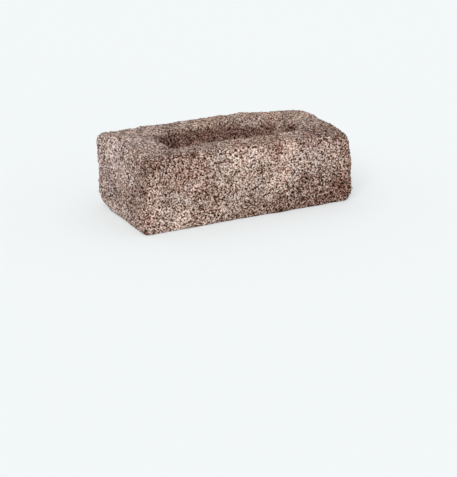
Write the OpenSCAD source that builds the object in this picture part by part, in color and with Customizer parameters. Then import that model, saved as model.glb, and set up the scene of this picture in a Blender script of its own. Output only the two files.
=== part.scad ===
// Handmade facing brick: one lump of clay, thrown into a sanded mould, struck off flat and fired.
// The mould's floor formed the upper bed and its frog; the struck side is the lower bed.
// Millimetres. The origin is the centre of the lower bed, +X runs along the stretcher face, +Y goes
// to the back face and +Z is up.

/* [Body] */
// Length of the stretcher face
brick_l = 215; // [188:1:250]
// Width of the bed, from face to face
brick_w = 102; // [90:1:120]
// Height from bed to bed, at the front face
brick_h = 65; // [50:1:71]
// How much higher the upper bed stands at the back face
back_rise = 5.5; // [0:0.5:8]
// How much each face leans in between its foot and the top arris
draft = 1.5; // [0:0.5:4]

/* [Arrises] */
// Rounding of the top arris, which the clay did not fill
top_r = 9; // [8:0.5:18]
// Rounding of the upper bed's front left corner, seen from above
front_left_r = 9; // [6:1:26]
// Rounding of the upper bed's front right corner
front_right_r = 22; // [6:1:26]
// Rounding of the upper bed's back right corner
back_right_r = 21; // [6:1:26]
// Rounding of the upper bed's back left corner
back_left_r = 9; // [6:1:26]
// Rounding of the upright arrises, as a share of the rounding of the upper bed's corners
upright_share = 0.4; // [0.2:0.05:0.6]
// How far the foot of the faces tucks in over the lower bed
foot_tuck = 2; // [0.5:0.5:5]
// Height over which the foot tucks in
foot_rise = 10; // [5:0.5:14]

/* [Frog] */
// Land between each end of the brick and the frog, before the frog is shifted
end_land = 30; // [24:1:50]
// How far the frog sits off centre, towards the right end
frog_shift = 4; // [-6:0.5:6]
// How far the frog is turned out of line with the brick, in degrees, its right end to the back
frog_turn = 1.5; // [-3:0.5:3]
// Land between a long face and the frog
side_land = 23.5; // [22:0.5:30]
// Depth of the frog below the upper bed
frog_depth = 19; // [10:0.5:24]
// Lean of the frog's long walls from upright, in degrees
frog_lean = 20; // [8:1:32]
// How many times further its left end wall reaches in than its long walls
left_reach = 1.4; // [1:0.1:2.6]
// How many times further its right end wall reaches in than its long walls
right_reach = 1.8; // [1:0.1:2.6]
// Rounding of the frog's rim
rim_r = 3; // [2:0.5:8]
// Rounding where the frog's walls meet its floor
floor_r = 6; // [3:0.5:9]
// Rounding of the frog's corners, seen from above
frog_corner_r = 13; // [8:1:18]
// Rounding of its front left corner, which kept the mould's edge better
frog_sharp_r = 8; // [8:1:18]

/* [Hand moulding] */
// Height of the broad waves that throwing leaves in every face
wave = 1.6; // [0:0.1:3]
// Distance from one broad wave to the next
wave_pitch = 48; // [30:1:80]
// Height of the lumps and dents that fingers and sand leave all over
dent = 0.9; // [0:0.1:1.5]
// Distance from one dent to the next
dent_pitch = 15; // [12:1:24]
// How strongly the bulges and hollows of this one throw stand out
bulge = 1; // [0:0.1:1.5]
// Which lump of clay: every number throws a differently uneven brick
throw_number = 120; // [1:1:200]
// Which set of dents
dent_number = 59; // [1:1:200]

/* [Hidden] */
clay = [0.66, 0.55, 0.49];

// Steps of the loft: round each corner, along a long and a short side, and up each part of the profile
arc_steps = 6;
long_steps = 38;
half_end_steps = 9;
foot_steps = 3;
face_steps = 9;
top_steps = 6;
land_steps = 4;
rim_steps = 4;
wall_steps = 3;
floor_steps = 4;

// The clay stands this far below the lower bed until it is struck off
strike = 4;

half_l = brick_l / 2;
half_w = brick_w / 2;

// ---- Smooth random field ----
function smooth(t) = t * t * (3 - 2 * t);
function total(list, i = 0) = i < len(list) ? list[i] + total(list, i + 1) : 0;

// A lattice of random values whose cells are pitch wide and reach past the brick on every side
function lattice(pitch, seed) =
    let (count = [for (size = [brick_l, brick_w, brick_h]) ceil(size / pitch) + 3])
    [pitch, count, rands(-1, 1, count.x * count.y * count.z, seed)];

function knot(field, i, j, k) = field[2][(i * field[1].y + j) * field[1].z + k];

// Value of the field at p, blended between the eight knots round it
function sample(field, p) =
    let (
        q = (p + [half_l, half_w, 0]) / field[0] + [1, 1, 1],
        i = floor(q.x), j = floor(q.y), k = floor(q.z),
        u = smooth(q.x - i), v = smooth(q.y - j), w = smooth(q.z - k),
        low = (1 - v) * ((1 - u) * knot(field, i, j, k) + u * knot(field, i + 1, j, k))
            + v * ((1 - u) * knot(field, i, j + 1, k) + u * knot(field, i + 1, j + 1, k)),
        high = (1 - v) * ((1 - u) * knot(field, i, j, k + 1) + u * knot(field, i + 1, j, k + 1))
            + v * ((1 - u) * knot(field, i, j + 1, k + 1) + u * knot(field, i + 1, j + 1, k + 1))
    )
    (1 - w) * low + w * high;

waves = [for (axis = [0:2]) lattice(wave_pitch, throw_number * 10 + axis)];
dents = [for (axis = [0:2]) lattice(dent_pitch, dent_number * 10 + 5 + axis)];

// ---- Bulges and hollows: [middle as shares of the half length, half width and height, reach, push] ----
bulges = [
    // Back left: the end swells near its top, gives way halfway down and tucks in at its foot
    [[-1, 0.7, 0.95], 34, [-2.4, 0, 0]],
    [[-1, 1, 0.45], 14, [1, 0, 0]],
    [[-1, 0.85, -0.1], 20, [3.5, 0, 0]],
    // Front left: the foot stands a little proud
    [[-0.97, -1, 0], 20, [0, -1, 0]],
    // Front right: full at the top, slack below it and squeezed out near the foot
    [[0.9, -0.85, 1.05], 16, [1, 0, 1.5]],
    [[0.98, -0.85, 0.8], 16, [-2, 0, 0]],
    [[1.03, -0.85, 0.2], 14, [2, 0, 0]],
    // Back arris: two sags and a long swell
    [[-0.8, 0.95, 1.05], 24, [0, 0, -1.5]],
    [[-0.3, 0.95, 1.05], 24, [0, 0, -1]],
    [[0.35, 0.95, 1.05], 34, [0, 0, 1.6]],
    // Right end: a shoulder on its top arris, behind the middle
    [[0.93, 0.35, 1.05], 22, [1, 0, 1.5]]
];

// Where the bulges move point p: all of a bulge's push at its middle and none past its reach
function bulged(p) =
    let (parts = [for (b = bulges)
        let (middle = [b[0].x * half_l, b[0].y * half_w, b[0].z * brick_h])
        smooth(max(0, 1 - norm(p - middle) / b[1])) * b[2]])
    bulge * [for (axis = [0:2]) total([for (part = parts) part[axis]])];

// A point of the true form, moved to where the uneven clay has it: upwards the more the higher it is
function thrown(p) =
    let (
        level = max(p.z, 0) / brick_h,
        at = [p.x, p.y, max(p.z, 0)],
        uneven = [for (axis = [0:2]) wave * sample(waves[axis], at) + dent * sample(dents[axis], at)],
        push = uneven + bulged(at),
        rise = back_rise * (p.y / brick_w + 0.5)
    )
    p + [push.x, push.y, level * (push.z + rise)];

// ---- Plan: a rounded rectangle with the same number of points at every level ----
function arc(centre, r, from) =
    [for (i = [0:arc_steps]) centre + r * [cos(from + 90 * i / arc_steps), sin(from + 90 * i / arc_steps)]];

// Points at the middles of equal steps from p to q, without the ends
function run(p, q, steps) = [for (i = [0:steps - 1]) p + (q - p) * (i + 0.5) / steps];

// Counter-clockwise from the middle of the +X end, so that point i faces point n-1-i across the X axis.
// r holds the roundings of the back right, back left, front left and front right corners.
function outline(a, b, r) =
    concat(
        run([a, 0], [a, b - r[0]], half_end_steps),
        arc([a - r[0], b - r[0]], r[0], 0),
        run([a - r[0], b], [r[1] - a, b], long_steps),
        arc([r[1] - a, b - r[1]], r[1], 90),
        run([-a, b - r[1]], [-a, r[2] - b], 2 * half_end_steps),
        arc([r[2] - a, r[2] - b], r[2], 180),
        run([r[2] - a, -b], [a - r[3], -b], long_steps),
        arc([a - r[3], r[3] - b], r[3], 270),
        run([a, r[3] - b], [a, 0], half_end_steps)
    );

// ---- Profile: [inset from the ends, inset from the long faces, corner roundings, height, shift, turn] ----
function mix(from, to, t) = from + (to - from) * t;
crown = [back_right_r, back_left_r, front_left_r, front_right_r];
upright = upright_share * crown;
face_top = brick_h - top_r;
function foot_level(t) =
    let (inset = foot_tuck * (1 - sin(90 * t)))
    [inset, inset, upright, foot_rise * (1 - cos(90 * t)), 0, 0];
function face_level(t) =
    [draft * t, draft * t, upright, mix(foot_rise, face_top, t), 0, 0];
function top_level(t) =
    let (inset = draft + top_r * (1 - cos(90 * t)))
    [inset, inset, mix(upright, crown, t), face_top + top_r * sin(90 * t), 0, 0];
function land_level(t) =
    mix(top_level(1), frog_level(0, 0), t);

// Frog: rim arc, leaning wall and floor arc, each a distance in from the rim and a height
steep = 90 - frog_lean;
rim_end = [rim_r * sin(steep), rim_r * (1 - cos(steep))];
floor_start = [floor_r * sin(steep), floor_r * (1 - cos(steep))];
wall_drop = frog_depth - rim_end[1] - floor_start[1];
wall_run = wall_drop * tan(frog_lean);
floor_in = rim_end[0] + wall_run + floor_start[0];
function frog_level(inset, drop) =
    let (
        room = half_w - side_land - inset - 1,
        r = max(1, min(frog_corner_r - inset / 2, room)),
        sharp_r = max(1, min(frog_sharp_r - inset / 2, room)),
        ends_in = end_land + (left_reach + right_reach) / 2 * inset,
        shift = frog_shift + (left_reach - right_reach) / 2 * inset
    )
    [ends_in, side_land + inset, [r, r, sharp_r, r], brick_h - drop, shift, frog_turn];
function rim_level(t) = frog_level(rim_r * sin(steep * t), rim_r * (1 - cos(steep * t)));
function wall_level(t) = frog_level(rim_end[0] + wall_run * t, rim_end[1] + wall_drop * t);
function floor_level(t) =
    let (angle = steep * (1 - t))
    frog_level(floor_in - floor_r * sin(angle), frog_depth - floor_r * (1 - cos(angle)));
floor_middle = frog_level((floor_in + half_w - side_land) / 2, frog_depth);

levels = concat(
    [[foot_tuck, foot_tuck, upright, -strike, 0, 0]],
    [for (i = [0:foot_steps - 1]) foot_level(i / foot_steps)],
    [for (i = [0:face_steps - 1]) face_level(i / face_steps)],
    [for (i = [0:top_steps - 1]) top_level(i / top_steps)],
    [for (i = [0:land_steps - 1]) land_level(i / land_steps)],
    [for (i = [0:rim_steps - 1]) rim_level(i / rim_steps)],
    [for (i = [0:wall_steps - 1]) wall_level(i / wall_steps)],
    [for (i = [0:floor_steps]) floor_level(i / floor_steps)],
    [floor_middle]
);

// ---- Solid ----
// A point of a level's outline, shifted along the brick and turned about its middle
function placed(p, level) =
    let (turn = level[5])
    [level[4] + p.x * cos(turn) - p.y * sin(turn), p.x * sin(turn) + p.y * cos(turn), level[3]];

// The clay as it left the mould, before the lower bed is struck off
module clay_lump() {
    rings = [for (level = levels)
        [for (p = outline(half_l - level[0], half_w - level[1], level[2]))
            thrown(placed(p, level))]];
    n = len(rings[0]);
    last = len(rings) - 1;
    // Two triangles between each pair of neighbours on two rings
    sides = [for (ring = [0:last - 1], i = [0:n - 1])
        let (a = ring * n + i, b = ring * n + (i + 1) % n)
        each [[a, a + n, b + n], [a, b + n, b]]];
    // A strip of pairs across the X axis closes the underside and the middle of the frog's floor
    under = [for (i = [0:n / 2 - 2])
        each [[i, i + 1, n - 1 - i], [i + 1, n - 2 - i, n - 1 - i]]];
    frog_floor = [for (i = [0:n / 2 - 2])
        let (a = last * n)
        each [[a + i, a + n - 1 - i, a + i + 1], [a + i + 1, a + n - 1 - i, a + n - 2 - i]]];
    polyhedron(points = [for (ring = rings) each ring], faces = concat(sides, under, frog_floor));
}

module brick() {
    color(clay)
    difference() {
        clay_lump();
        translate([-brick_l, -brick_w, -2 * strike]) cube([2 * brick_l, 2 * brick_w, 2 * strike]);
    }
}

brick();
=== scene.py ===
"""Dresses the handmade facing brick: a sanded skin over the CAD brick, the colours of its fired clay,
a pale floor, soft light and the camera. Metres, +Z up, in the CAD model's own frame."""

import itertools
import math

import bpy
import numpy as np
from mathutils import Matrix, Vector


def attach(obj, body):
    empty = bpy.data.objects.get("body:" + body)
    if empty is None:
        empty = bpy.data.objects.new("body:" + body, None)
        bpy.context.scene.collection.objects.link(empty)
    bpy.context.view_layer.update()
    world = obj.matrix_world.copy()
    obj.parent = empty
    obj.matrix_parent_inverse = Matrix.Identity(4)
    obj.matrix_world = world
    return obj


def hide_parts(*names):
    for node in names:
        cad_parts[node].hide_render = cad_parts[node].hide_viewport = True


MM = 0.001

# ---- The skin's mesh ----
WELD = 0.01 * MM        # corners of the CAD model that lie closer than this become one
QUAD = 1.0 * MM         # side of the skin's quads
EASE_ROUNDS = 4         # rounds of smoothing that take out the CAD model's facets

# ---- Relief of the skin: how far apart, and how high or deep ----
PUCKER_PITCH, PUCKER = 6 * MM, 0.5 * MM     # puckers in the skin
GRAIN_PITCH, GRAIN = 2.5 * MM, 1.3 * MM     # clumps of coarse sand
GRAIN_LEVEL = 0.45      # share of a grain's height that lies below the skin's mean level
FINE_GRAIN = 0.6        # how high the grains stand where the sand is fine, against 1 where it is coarse
PIT_PITCH, PIT = 11 * MM, 0.9 * MM          # pits where a clump fell out
PIT_SHARE = 0.55        # share of the places for a pit that have one
PIT_FLAT, PIT_SLOPE = 0.05, 0.14            # a pit's flat bottom and its slope, as shares of the pitch
SINK = 0.2 * MM         # how far the skin's mean level lies below the CAD brick's face
FOOT = 2 * MM           # the relief fades in over this height above the lower bed

# ---- Ragged edges: their pitch, and how ragged the sand's patches, the kiln marks and the folds are ----
RAGGED_PITCH = 7 * MM
PATCH_RAGGED, MARK_RAGGED, FOLD_RAGGED = 0.12, 0.2, 0.5

# ---- Seeds of the random fields ----
PUCKER_SEED, GRAIN_SEED, PIT_SEED, RAGGED_SEED = 21, 31, 41, 51

# ---- How squarely the skin faces one way to count as that side: not at all below, wholly above ----
LONG_SIDE, RIGHT_SIDE, LEFT_SIDE, UNDERSIDE = (0.28, 0.60), (0.3, 0.6), (0.3, 0.7), (0.6, 0.95)

# ---- How coarse the sand is on the ends, against 1 on the long faces and 0 on the upper bed ----
RIGHT_COARSE, LEFT_COARSE = 0.85, 0.8

# ---- Upper bed and frog, and the frog's painted shade. Depths are below the bed ----
BED_FRONT, BED_BACK = 65 * MM, 70.5 * MM    # height of the upper bed at the front and at the back
FROG_LONG, FROG_WIDE = 0.8, 0.56            # the frog lies within this share of the length and of the width
FROG_FROM, FROG_FULL = 1 * MM, 7 * MM       # depths at which the frog's painted shade starts and is full
FROG_WALL = (0.3, 0.6)  # how squarely the frog's right end faces left, not at all and wholly
FROG_WALL_LIT = 0.8    # how much of the frog's painted shade that end lacks, as it faces the light
SLUMPED = ((40, 26, 68), (66, 22, 68))      # the frog's slumped rim: a line from and to, in millimetres
SLUMP_FULL, SLUMP_END = 8, 20               # reach around that line in millimetres
SLUMP = 2.5 * MM        # how far down from the bed the slumped rim keeps the bed's colour before the frog's painted shade starts

# ---- Kiln marks, and painted shade along the front's foot and in the frog: middle and reach in millimetres, and how much lighter, redder and more ochre ----
KILN_AND_SHADE = [
    # Front face, from its dark, browner foot on the right, its darkness partly painted contact shadow, to
    # the pale patches high in the middle and low on the left
    ((86, -50, 8), 30, -0.40, 1.4, 0.2), ((30, -50, 5), 26, -0.40, 0.6, 0.0),
    ((58, -50, 19), 26, -0.24, 0.4, -0.2), ((0, -50, 4), 16, -0.22, 0.4, 0.0),
    ((44, -50, 7), 18, -0.24, 0.2, 0.0), ((60, -50, 4), 16, -0.22, 0.8, 0.0),
    ((84, -50, 20), 18, -0.24, 0.0, 0.0), ((98, -46, 20), 22, -0.20, 0.8, 0.0),
    ((102, -47, 47), 15, -0.30, 1.1, 0.1), ((102, -46, 24), 12, -0.26, 0.4, 0.0),
    ((-50, -50, 23), 24, -0.22, 0.5, 0.1), ((-98, -50, 62), 18, -0.26, 0.4, 0.0),
    ((-88, -50, 42), 24, -0.20, 0.4, 0.0), ((-60, -50, 2), 12, -0.20, 0.4, 0.0),
    ((80, -50, 63), 14, -0.05, 0.4, 0.0), ((-74, -50, 11), 19, 0.38, 0.2, 0.2),
    ((2, -50, 55), 17, 0.50, -0.6, -0.2), ((-6, -50, 36), 18, 0.38, 0.0, 0.0),
    ((30, -50, 37), 18, 0.26, 0.0, 0.0), ((34, -50, 58), 20, 0.50, -0.3, 0.0),
    ((-22, -50, 50), 14, 0.30, 0.4, 0.3), ((-80, -50, 65), 10, -0.20, 0.3, 0.0),
    ((-82, -50, 53), 13, 0.24, 0.3, 0.0),
    ((56, -50, 51), 16, 0.14, -0.2, -0.5), ((80, -50, 50), 16, 0.12, 0.4, 0.0),
    ((-99, -50, 19), 12, 0.36, 0.3, 0.0), ((-98, -50, 4), 16, 0.12, 0.6, 0.0),
    ((-60, -50, 50), 26, 0.0, 1.6, 0.3), ((-19, -49, 64), 10, 0.30, 0.0, 0.0),
    ((3, -50, 45), 12, -0.28, 0.0, 0.0), ((20, -50, 28), 13, 0.22, -0.2, 0.0),
    ((-20, -50, 29), 11, 0.26, 0.4, 0.0), ((-100, -50, 34), 12, 0.26, 0.2, 0.0),
    ((54, -50, 29), 14, -0.28, 0.2, 0.0), ((24, -50, 7), 15, -0.32, 0.4, 0.0),
    ((80, -50, 3), 14, -0.26, 0.4, 0.0), ((-80, -50, 2), 12, 0.26, 0.0, 0.0),
    # Left end
    ((-107, -45, 60), 18, -0.46, 0.2, 0.0), ((-107, -42, 40), 16, -0.36, 0.6, 0.0),
    ((-107, -30, 34), 20, -0.28, 0.6, 0.0), ((-107, -46, 18), 14, -0.26, 0.6, 0.0),
    ((-107, -46, 5), 14, -0.20, 0.8, 0.1), ((-107, -18, 21), 20, -0.26, 0.4, 0.0),
    ((-107, 18, 18), 22, -0.24, 0.0, -0.3), ((-107, 10, 63), 18, -0.34, -0.4, -0.4),
    ((-107, -4, 42), 20, 0.20, 0.2, 0.0), ((-107, 16, 50), 20, 0.36, 0.0, -0.4),
    ((-107, 35, 34), 24, -0.10, -0.2, -0.5), ((-107, 44, 42), 12, 0.24, 0.0, 0.0),
    ((-107, 16, 8), 12, 0.30, 0.0, 0.0), ((-106, 46, 20), 9, -0.40, 0.0, 0.0),
    # Back face and right end
    ((-60, 51, 30), 34, -0.30, 0.6, 0.0), ((20, 51, 45), 30, 0.30, 0.0, 0.2),
    ((75, 51, 15), 30, -0.30, 1.0, 0.0), ((-20, 51, 8), 24, -0.24, 0.6, 0.0),
    ((107, 10, 32), 26, 0.30, 0.0, 0.0), ((107, -20, 12), 20, -0.30, 0.6, 0.0),
    ((107, 34, 52), 18, -0.24, 0.4, 0.1),
    # Upper bed and its front arris
    ((88, -34, 67), 30, -0.48, 0.5, 0.0), ((-80, -44, 65), 28, -0.28, 0.1, 0.0),
    ((-54, -42, 66), 15, -0.38, 0.2, 0.0), ((-101, 14, 69), 21, 0.50, 0.1, -0.1),
    ((40, 34, 70), 30, 0.16, 0.4, 0.6), ((90, 20, 69), 26, 0.12, 0.6, 0.4),
    ((0, 36, 70), 36, 0.0, 1.0, 0.7), ((20, -42, 66), 50, -0.10, 1.0, 0.3),
    ((-12, -40, 66), 18, -0.10, 0.8, 0.0), ((-42, 32, 69), 22, -0.30, 0.6, 0.2),
    ((66, -42, 66), 20, -0.20, 1.2, 0.0), ((25, -49, 59), 7, -0.80, 1.6, 0.3),
    ((67, 32, 70), 15, 0.40, 1.2, 0.8), ((-95, -34, 66), 13, 0.34, 0.0, 0.0),
    ((-75, -21, 67), 8, -0.44, 0.4, 0.0), ((-100, -20, 68), 10, -0.30, 0.4, 0.0),
    # Frog: painted shade in its left corner, its greyer back wall, and painted shade for a dark pocket and
    # two hollows at its right end
    ((-50, 20, 54), 13, -0.60, 0.4, 0.0), ((40, 22, 60), 20, -0.05, -0.2, -0.4),
    ((58, 14, 58), 8, -0.80, -3.0, 0.5), ((68, 8, 61), 7, -1.50, 0.4, 0.2),
    ((72, 3, 61), 8, -0.90, 2.0, 0.2)]
MARK_FULL = 0.1         # a mark is whole within this share of its reach

# ---- Painted shade along the brick's foot, darker all round: how much, and the heights between which that fades ----
FOOT_SHADE, FOOT_FULL, FOOT_END = -0.15, 1 * MM, 6 * MM

# ---- Folds and creases: from, to, width and height in millimetres, where a height below 0 cuts in ----
FOLDS = [
    # From the frog's front left corner across the lip, over the arris and down the front face
    ((-76, -27, 66), (-80, -44, 65), 3, -0.8), ((-80, -44, 65), (-72, -50, 56), 3, -1.5),
    # Low on the front face, near its left arris
    ((-106, -51, 17), (-96, -51, 24), 3, -0.7),
    # The frog's rim: slumped at the back towards its right end, swollen along the front lip, and its front
    # left corner pressed out
    ((34, 27, 68), (64, 26, 68), 8, -2.0), ((-40, -26, 66), (-6, -26, 66), 7, 1.3),
    ((0, -26, 66), (60, -24, 66), 7, 0.8), ((-76, -24, 64), (-66, -26, 65), 7, -1.5),
    # Clay folded over in the frog's back right corner
    ((60, 12, 55), (72, 10, 66), 4, 1.6)]

# ---- Dots in the sand: how far apart, where full and where ended as shares of that, and an offset ----
# The pinholes are dark partly as painted shade in the pores between grains and partly as dark grains
PINHOLE, PALE_GRAIN = (2.2 * MM, 0.18, 0.48, 0.0), (1.9 * MM, 0.22, 0.50, 0.4)
DULLEST = 0.4           # strength of the weakest dots, against 1 of the strongest

# ---- Shades in the sand: its specks' size, and the size, detail and offset of its clumps and fuzz ----
SPECK = 1.0 * MM
CLUMP, FUZZ = (2.6 * MM, 2, 5.2), (0.8 * MM, 3, 1.3)
LEVEL, CONTRAST = -0.015, 1.07  # added to the clay's shade, and how far its shades spread round the middle

# ---- Colours of the clay by shade, linear: where the sand is coarse, and where it is fine ----
COARSE_COLOURS = [
    (0.10, (0.008, 0.0025, 0.001)), (0.28, (0.080, 0.028, 0.015)), (0.48, (0.234, 0.133, 0.098)),
    (0.72, (0.486, 0.352, 0.292)), (0.95, (0.76, 0.675, 0.62))]
FINE_COLOURS = [
    (0.10, (0.008, 0.0035, 0.002)), (0.28, (0.080, 0.037, 0.024)), (0.48, (0.234, 0.151, 0.120)),
    (0.72, (0.462, 0.348, 0.302)), (0.95, (0.72, 0.645, 0.595))]
# The frog's painted shade
FROG_SHADE_TINT = (0.62, 0.505, 0.48, 1)
# Painted shade in the pits: its colour, and how much of it the deepest pit takes
PIT_SHADE_COLOUR, PIT_SHADE = (0.05, 0.032, 0.026, 1), 0.8

# ---- Blotches of the kiln: a noise's size, detail and offset, and the tints at its low and high end ----
BLOTCHES = [
    (30 * MM, 2, 3.1, (0.84, 0.80, 0.78), (1.16, 1.17, 1.17)),
    (10 * MM, 2, 7.7, (0.90, 0.885, 0.88), (1.10, 1.10, 1.10)),
    (22 * MM, 1, 9.4, (1.015, 0.99, 0.965), (0.985, 1.01, 1.03))]
NOISE_LOW, NOISE_HIGH = 0.3, 0.7

# ---- Tints of the kiln marks, painted shade included, from the least tone, red or ochre to the most, with none in the middle ----
TONE = [(0.0, (0.78, 0.75, 0.74)), (0.5, (1, 1, 1)), (1.0, (1.24, 1.24, 1.24))]
RED = [(0.0, (0.92, 1.08, 1.10)), (1.0, (1.08, 0.92, 0.90))]
OCHRE = [(0.0, (1, 1, 1.2)), (1.0, (1, 1, 0.8))]
TINGE = 0.25            # how far 1 of red or ochre goes along its tints

# ---- Surface of the clay ----
ROUGHNESS, SPECULAR = 0.93, 0.15
BUMP, BUMP_HEIGHT = 0.7, 0.5 * MM

# ---- Camera: where it looks, from which side, how high, how it is turned and how far away it stands ----
AIM = Vector((-8.9, -20.0, -28.3)) * MM
AZIMUTH, ELEVATION, ROLL = math.radians(30.5), math.radians(19.5), math.radians(0.69)
DISTANCE = 1.042
FOCAL_MM, SENSOR_MM = 85.8, 36
NEAREST, FARTHEST = 0.01, 50

# ---- Light ----
SKY = 0.75
KEY, KEY_FROM, KEY_SOFTNESS = 1.3, (-0.6, -0.6, 0.53), math.radians(28)

# ---- Floor, linear colours ----
FLOOR_SIDE, FLOOR_MIDDLE = 12, (0, 2, -0.02 * MM)
FLOOR = (0.91, 0.945, 0.955)
CLOUDS = (0.5, 1, 0.0)  # size, detail and offset of faint clouds in the floor's colour
CLOUD = 1.004           # how much lighter they are
BACKDROP = (0.93, 0.965, 0.975)
WHITENING = 0.35        # share of the floor's look that is the backdrop's white


# ---------------------------------------------------------------- random fields

def field(points, pitch, seed):
    """Smooth random values from -1 to 1, one for each point, that change over the distance pitch."""
    place = (points - points.min(0)) / pitch
    cell = np.floor(place).astype(int)
    knots = np.random.default_rng(seed).uniform(-1, 1, cell.max(0) + 2)
    along = ramp(place - cell, 0, 1)
    total = np.zeros(len(points))
    for corner in itertools.product((0, 1), repeat=3):
        weight = np.prod(np.where(corner, along, 1 - along), axis=1)
        total += weight * knots[tuple((cell + corner).T)]
    return total


def layered(points, pitch, seed, octaves):
    """A field with finer and weaker fields on top of it."""
    return sum(field(points, pitch / 2**i, seed + i) / 1.7**i for i in range(octaves))


def nearest_grain(points, pitch, seed):
    """Distance from each point to the nearest grain, in pitches, and that grain's own random number."""
    place = (points - points.min(0)) / pitch + 1
    cell = np.floor(place).astype(int)
    random = np.random.default_rng(seed)
    size = tuple(cell.max(0) + 2)
    jitter = random.uniform(0, 1, size + (3,))
    number = random.uniform(0, 1, size)
    best = np.full(len(points), np.inf)
    own = np.zeros(len(points))
    for step in itertools.product((-1, 0, 1), repeat=3):
        at = tuple((cell + step).T)
        distance = np.linalg.norm(cell + step + jitter[at] - place, axis=1)
        closer = distance < best
        best = np.where(closer, distance, best)
        own = np.where(closer, number[at], own)
    return best, own


def distance_to_line(points, start, end):
    """Distance from each point to the straight line between start and end."""
    start, run = np.array(start), np.subtract(end, start)
    share = np.clip((points - start) @ run / (run @ run), 0, 1)
    return np.linalg.norm(points - start - share[:, None] * run, axis=1)


def ramp(value, low, high):
    """0 below low, 1 above high and smooth between them."""
    share = np.clip((value - low) / (high - low), 0, 1)
    return share * share * (3 - 2 * share)


# ---------------------------------------------------------------- the brick's skin

def fine_copy(node):
    """A piece of its own with the CAD brick's form and an even skin of small quads."""
    piece = bpy.data.objects.new("sanded_brick", node.data.copy())
    bpy.context.scene.collection.objects.link(piece)
    weld = piece.modifiers.new("weld", "WELD")
    weld.merge_threshold = WELD
    skin = piece.modifiers.new("skin", "REMESH")
    skin.mode = "VOXEL"
    skin.voxel_size = QUAD
    ease = piece.modifiers.new("ease", "SMOOTH")
    ease.iterations = EASE_ROUNDS
    ready = piece.evaluated_get(bpy.context.evaluated_depsgraph_get())
    piece.data = bpy.data.meshes.new_from_object(ready)
    piece.modifiers.clear()
    return piece


def rows_of(group, what):
    """Places or normals from a group of a mesh's rows, as an array."""
    values = np.zeros(len(group) * 3)
    group.foreach_get(what, values)
    return values.reshape(-1, 3)


def keep(mesh, name, values):
    """Stores one number for each vertex, for the material to read."""
    mesh.attributes.new(name, "FLOAT", "POINT").data.foreach_set("value", values.astype(np.float32))


def find_frog(points, normals, under):
    """Which points lie over the frog's outline, and how much of the frog's painted shade each of them has.
    """
    half = (points.max(0) - points.min(0)) / 2
    along, across = np.abs(points[:, 0]) / half[0], np.abs(points[:, 1]) / half[1]
    inside = np.maximum(along - FROG_LONG, across - FROG_WIDE) < 0

    # The upper bed climbs from the front to the back, and the frog lies deeper than it
    bed = np.interp(points[:, 1], (-half[1], half[1]), (BED_FRONT, BED_BACK))
    slumped = 1 - ramp(distance_to_line(points / MM, *SLUMPED), SLUMP_FULL, SLUMP_END)
    depth = bed - points[:, 2] - SLUMP * slumped
    # The frog's painted shade grows with depth below the bed, and is weaker on its right end, which faces
    # the light
    frog = inside * ramp(depth, FROG_FROM, FROG_FULL) * (1 - under)
    frog *= 1 - FROG_WALL_LIT * ramp(-normals[:, 0], *FROG_WALL)
    return inside, frog


def find_coarse(normals, ragged, inside, under):
    """How coarse the sand is, from 0 to 1: coarsest on the long faces and finest on the beds."""
    long = ramp(np.abs(normals[:, 1]) + PATCH_RAGGED * ragged, *LONG_SIDE) * ~inside
    right = ramp(normals[:, 0] + PATCH_RAGGED * ragged, *RIGHT_SIDE) * ~inside
    left = ramp(-normals[:, 0], *LEFT_SIDE) * ~inside
    return np.maximum.reduce([long, RIGHT_COARSE * right, LEFT_COARSE * left]) * (1 - under)


def grain_height(points, coarse):
    """The grains' height, and how far up its grain each point lies: from 0 at the foot to the grain's own
    height at the top, which is from 0.5 to 1.5."""
    distance, own = nearest_grain(points, GRAIN_PITCH, GRAIN_SEED)
    grain = (1 - np.minimum(distance, 1)) * (0.5 + own)
    return GRAIN * (grain - GRAIN_LEVEL) * (FINE_GRAIN + (1 - FINE_GRAIN) * coarse), grain


def pit_depth(points):
    """Depth of the pits. A pit's own number sets how deep and how wide it is."""
    distance, own = nearest_grain(points, PIT_PITCH, PIT_SEED)
    hollow = 1 - ramp(distance, PIT_FLAT, PIT_FLAT + PIT_SLOPE * own)
    return PIT * own * hollow * (own > 1 - PIT_SHARE)


def fold_height(points, ragged):
    """Height of the folds and, below 0, depth of the creases."""
    height = np.zeros(len(points))
    for start, end, width, rise in FOLDS:
        away = distance_to_line(points / MM, start, end) + FOLD_RAGGED * ragged
        height += rise * MM * (1 - ramp(away, 0, width))
    return height


def kiln_marks_and_shade(points, ragged):
    """How much lighter, redder and more ochre the kiln marks and the painted shade leave each point."""
    tone_and_shade, red, ochre = np.zeros((3, len(points)))
    for middle, reach, lighter, redder, yellower in KILN_AND_SHADE:
        away = np.linalg.norm(points / MM - middle, axis=1) / reach
        near = 1 - ramp(away + MARK_RAGGED * ragged, MARK_FULL, 1)
        tone_and_shade += lighter * near
        red += redder * near
        ochre += yellower * near
    # Painted shade along the foot, all round
    tone_and_shade += FOOT_SHADE * (1 - ramp(points[:, 2], FOOT_FULL, FOOT_END))
    return tone_and_shade, red, ochre


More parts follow.
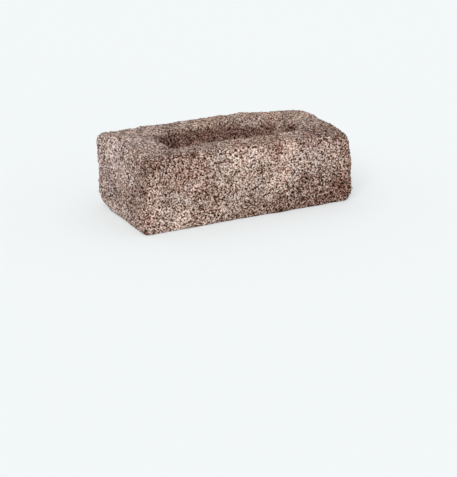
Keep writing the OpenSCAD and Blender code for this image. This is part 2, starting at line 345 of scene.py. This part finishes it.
def sand(piece):
    """Raises the skin's puckers, grains, pits and folds, and notes its sand, the frog's painted shade, and
    the kiln marks with the painted shade among them.
    """
    mesh = piece.data
    points, normals = rows_of(mesh.vertices, "co"), rows_of(mesh.vertex_normals, "vector")
    ragged = layered(points, RAGGED_PITCH, RAGGED_SEED, 3)
    under = ramp(-normals[:, 2], *UNDERSIDE)
    inside, frog = find_frog(points, normals, under)
    coarse = find_coarse(normals, ragged, inside, under)

    puckers = PUCKER * layered(points, PUCKER_PITCH, PUCKER_SEED, 2)
    grains, grain = grain_height(points, coarse)
    pits = pit_depth(points)
    height = puckers * (1 - under) + grains - pits + fold_height(points, ragged) - SINK
    height *= ramp(points[:, 2], 0, FOOT)
    moved = points + normals * height[:, None]
    moved[:, 2] = np.maximum(moved[:, 2], 0)
    mesh.vertices.foreach_set("co", moved.ravel())

    # Kiln marks, with painted shade along the foot and in the frog's corner and hollows
    tone_and_shade, red, ochre = kiln_marks_and_shade(points, ragged)
    notes = {"coarse": coarse, "frog": frog, "grain": grain, "pit": pits / PIT,
             "tone_and_shade": tone_and_shade, "red": red, "ochre": ochre}
    for name, values in notes.items():
        keep(mesh, name, values)
    mesh.shade_smooth()
    mesh.update()


# ---------------------------------------------------------------- materials

class Nodes:
    """A short way to build a material's node tree. The functions below call theirs n."""

    def __init__(self, name):
        self.material = bpy.data.materials.new(name)
        self.material.use_nodes = True
        self.tree = self.material.node_tree
        self.tree.nodes.clear()

    def add(self, kind, settings=(), **inputs):
        """Adds a node. An input is a value or another node's output, and its name has _ for a space."""
        node = self.tree.nodes.new(kind)
        for key, value in dict(settings).items():
            setattr(node, key, value)
        for key, value in inputs.items():
            self.link(node, key.replace("_", " "), value)
        return node

    def link(self, node, key, value):
        """Gives a node's input, by its name or number, a value or another node's output."""
        socket = node.inputs[int(key)] if key.isdigit() else node.inputs[key]
        if isinstance(value, bpy.types.NodeSocket):
            self.tree.links.new(value, socket)
        else:
            socket.default_value = value

    def math(self, operation, a, b, clamp=False):
        """One sum, product or the like of two values."""
        node = self.add("ShaderNodeMath", {"operation": operation, "use_clamp": clamp})
        self.link(node, "0", a)
        self.link(node, "1", b)
        return node.outputs[0]

    def weigh(self, *parts):
        """The sum of values, each times its weight."""
        total = 0.0
        for value, weight in parts:
            total = self.math("ADD", total, self.math("MULTIPLY", value, weight))
        return total

    def mix(self, blend, factor, a, b):
        """Colour a, blended with colour b as far as factor says."""
        node = self.add("ShaderNodeMix", {"data_type": "RGBA", "blend_type": blend})
        self.link(node, "0", factor)
        self.link(node, "6", a)
        self.link(node, "7", b)
        return node.outputs[2]

    def attribute(self, name):
        """A number that the mesh keeps for each vertex."""
        return self.add("ShaderNodeAttribute", {"attribute_name": name}).outputs["Fac"]

    def shifted(self, where, offset):
        """A place moved by offset, so that two patterns of one kind don't coincide."""
        node = self.add("ShaderNodeVectorMath", {"operation": "ADD"})
        self.link(node, "0", where)
        self.link(node, "1", (offset, offset, offset))
        return node.outputs[0]

    def noise(self, where, size, detail, offset):
        """Noise whose features are about size metres across, from 0 to 1."""
        moved = self.shifted(where, offset)
        return self.add("ShaderNodeTexNoise", Vector=moved, Scale=1 / size, Detail=detail).outputs[0]

    def voronoi(self, where, size, offset):
        """Cells about size metres across: the distance to their middles, and a random colour for each."""
        moved = self.shifted(where, offset)
        return self.add("ShaderNodeTexVoronoi", {"feature": "F1"}, Vector=moved, Scale=1 / size)

    def cells(self, where, size):
        """A random number from 0 to 1 for each cell about size metres across."""
        node = self.voronoi(where, size, 0.0)
        return self.add("ShaderNodeSeparateColor", Color=node.outputs["Color"]).outputs["Red"]

    def dots(self, where, size, full, end, offset):
        """Soft dots, size metres apart: 1 out to full and 0 from end, as shares of size, each of its own
        strength."""
        node = self.voronoi(where, size, offset)
        near = self.add(
            "ShaderNodeMapRange", {"interpolation_type": "SMOOTHSTEP"}, Value=node.outputs["Distance"])
        near.inputs["From Min"].default_value = end
        near.inputs["From Max"].default_value = full
        own = self.add("ShaderNodeSeparateColor", Color=node.outputs["Color"]).outputs["Green"]
        strength = self.math("ADD", self.math("MULTIPLY", own, 1 - DULLEST), DULLEST)
        return self.math("MULTIPLY", near.outputs[0], strength)

    def colours(self, value, stops):
        """The colour at a value from 0 to 1, out of stops that each have a value and its colour."""
        node = self.add("ShaderNodeValToRGB", Fac=value)
        elements = node.color_ramp.elements
        while len(elements) < len(stops):
            elements.new(0.5)
        for element, (place, colour) in zip(elements, stops):
            element.position = place
            element.color = (*colour, 1)
        return node.outputs["Color"]


def kiln_and_shade_tints(n, place):
    """The tints of the kiln's random blotches and of its marks, painted shade included, one after another.
    """
    for size, detail, offset, low, high in BLOTCHES:
        yield n.colours(n.noise(place, size, detail, offset), [(NOISE_LOW, low), (NOISE_HIGH, high)])
    # The tone of the kiln marks, with the painted shade along the foot and in the frog
    yield n.colours(n.math("ADD", n.attribute("tone_and_shade"), 0.5), TONE)
    yield n.colours(n.weigh((n.attribute("red"), TINGE), (0.5, 1)), RED)
    yield n.colours(n.weigh((n.attribute("ochre"), TINGE), (0.5, 1)), OCHRE)


def fired_clay():
    """Sand-faced clay: pale grains and dark pinholes on a brown body, blotched by the kiln, with painted
    light and shade on the grains, and painted shade in part of the pinholes' darkness, in the pits, in the
    frog and along the foot.
    """
    n = Nodes("fired_clay")
    place = n.add("ShaderNodeTexCoord").outputs["Object"]
    coarse, grain, tone_and_shade = n.attribute("coarse"), n.attribute("grain"), n.attribute("tone_and_shade")

    # Pinholes between the grains, dark partly as painted shade in the pores and partly as dark grains, pale
    # grains, and a shade of its own for each speck of sand
    hole = n.dots(place, *PINHOLE)
    pale = n.dots(place, *PALE_GRAIN)
    speck = n.cells(place, SPECK)
    clump = n.noise(place, *CLUMP)
    # The grains' height makes their tops lighter and their feet darker: painted light and shade
    shade = n.weigh(
        (hole, -0.50), (pale, 0.34), (speck, 0.66), (grain, 0.08), (clump, 0.42), (tone_and_shade, 0.18),
        (LEVEL, 1))
    contrast = n.weigh((coarse, 0.24), (tone_and_shade, -0.10), (CONTRAST, 1))
    shade = n.math("ADD", n.math("MULTIPLY", n.math("SUBTRACT", shade, 0.5), contrast), 0.5)
    fine, rough = n.colours(shade, FINE_COLOURS), n.colours(shade, COARSE_COLOURS)
    colour = n.mix("MIX", n.math("POWER", coarse, 3), fine, rough)

    # The kiln's blotches and marks, painted shade among them, the frog's painted shade, darkest where it
    # lies deepest, and the pits' painted shade
    for tint in kiln_and_shade_tints(n, place):
        colour = n.mix("MULTIPLY", 1, colour, tint)
    # Painted shade in the frog
    colour = n.mix("MULTIPLY", n.attribute("frog"), colour, FROG_SHADE_TINT)
    # Painted shade in the pits, darker the deeper each pit is
    colour = n.mix("MIX", n.math("MULTIPLY", n.attribute("pit"), PIT_SHADE, True), colour, PIT_SHADE_COLOUR)

    # Fine relief below the size of the skin's quads
    rise = n.weigh((hole, -0.8), (pale, 0.5), (speck, 0.5), (n.noise(place, *FUZZ), 0.6))
    bump = n.add("ShaderNodeBump", Height=rise, Strength=BUMP, Distance=BUMP_HEIGHT)
    surface = n.add(
        "ShaderNodeBsdfPrincipled", Base_Color=colour, Roughness=ROUGHNESS, Specular_IOR_Level=SPECULAR,
        Normal=bump.outputs[0])
    n.add("ShaderNodeOutputMaterial", Surface=surface.outputs[0])
    return n.material


def floor_white():
    """A pale matt floor that shows the camera and gloss most of its shade, and white for the rest."""
    n = Nodes("floor_white")
    place = n.add("ShaderNodeTexCoord").outputs["Object"]
    clouds = [(0.0, FLOOR), (1.0, tuple(c * CLOUD for c in FLOOR))]
    matt = n.add("ShaderNodeBsdfDiffuse", Color=n.colours(n.noise(place, *CLOUDS), clouds))
    white = n.add("ShaderNodeEmission", Color=(*BACKDROP, 1), Strength=1.0)
    rays = n.add("ShaderNodeLightPath").outputs
    mirrored = n.math("MAXIMUM", rays["Is Glossy Ray"], rays["Is Transmission Ray"])
    seen = n.math("MULTIPLY", n.math("MAXIMUM", rays["Is Camera Ray"], mirrored), WHITENING)
    surface = n.add("ShaderNodeMixShader", Fac=seen)
    n.link(surface, "1", matt.outputs[0])
    n.link(surface, "2", white.outputs[0])
    n.add("ShaderNodeOutputMaterial", Surface=surface.outputs[0])
    return n.material


# ---------------------------------------------------------------- stage

def make_floor():
    """A wide floor just below the brick."""
    bpy.ops.mesh.primitive_plane_add(size=FLOOR_SIDE, location=FLOOR_MIDDLE)
    floor = bpy.context.object
    floor.name = "floor"
    floor.data.materials.append(floor_white())


def make_light():
    """Even white light all round and one soft lamp from the front left."""
    world = bpy.data.worlds.new("studio")
    bpy.context.scene.world = world
    world.use_nodes = True
    sky = world.node_tree.nodes["Background"]
    sky.inputs["Color"].default_value = (1, 1, 1, 1)
    sky.inputs["Strength"].default_value = SKY
    lamp = bpy.data.lights.new("key", "SUN")
    lamp.energy, lamp.angle = KEY, KEY_SOFTNESS
    holder = bpy.data.objects.new("key", lamp)
    holder.rotation_euler = (-Vector(KEY_FROM)).to_track_quat("-Z", "Y").to_euler()
    bpy.context.scene.collection.objects.link(holder)


def make_camera():
    """The camera, in front of the brick, to its left and above it."""
    ahead = Vector((
        math.sin(AZIMUTH) * math.cos(ELEVATION),
        math.cos(AZIMUTH) * math.cos(ELEVATION),
        -math.sin(ELEVATION)))
    right = Vector((math.cos(AZIMUTH), -math.sin(AZIMUTH), 0))
    up = right.cross(ahead)
    turned_right = math.cos(ROLL) * right + math.sin(ROLL) * up
    turned_up = math.cos(ROLL) * up - math.sin(ROLL) * right
    lens = bpy.data.cameras.new("camera")
    lens.lens, lens.sensor_width = FOCAL_MM, SENSOR_MM
    lens.clip_start, lens.clip_end = NEAREST, FARTHEST
    holder = bpy.data.objects.new("camera", lens)
    holder.matrix_world = Matrix.Translation(AIM - DISTANCE * ahead) @ Matrix(
        (turned_right, turned_up, -ahead)).transposed().to_4x4()
    bpy.context.scene.collection.objects.link(holder)
    bpy.context.scene.camera = holder


# ---------------------------------------------------------------- scene

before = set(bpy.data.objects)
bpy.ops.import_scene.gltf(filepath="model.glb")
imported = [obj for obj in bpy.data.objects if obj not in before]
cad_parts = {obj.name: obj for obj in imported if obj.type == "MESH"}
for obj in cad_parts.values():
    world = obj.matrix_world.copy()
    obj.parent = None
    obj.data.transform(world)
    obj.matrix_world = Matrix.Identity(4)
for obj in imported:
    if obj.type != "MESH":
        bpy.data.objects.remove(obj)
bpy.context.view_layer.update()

brick = fine_copy(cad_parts["brick"])
sand(brick)
brick.data.materials.clear()
brick.data.materials.append(fired_clay())
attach(brick, "root")
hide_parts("brick")

make_floor()
make_light()
make_camera()
bpy.context.scene.view_settings.view_transform = "Standard"
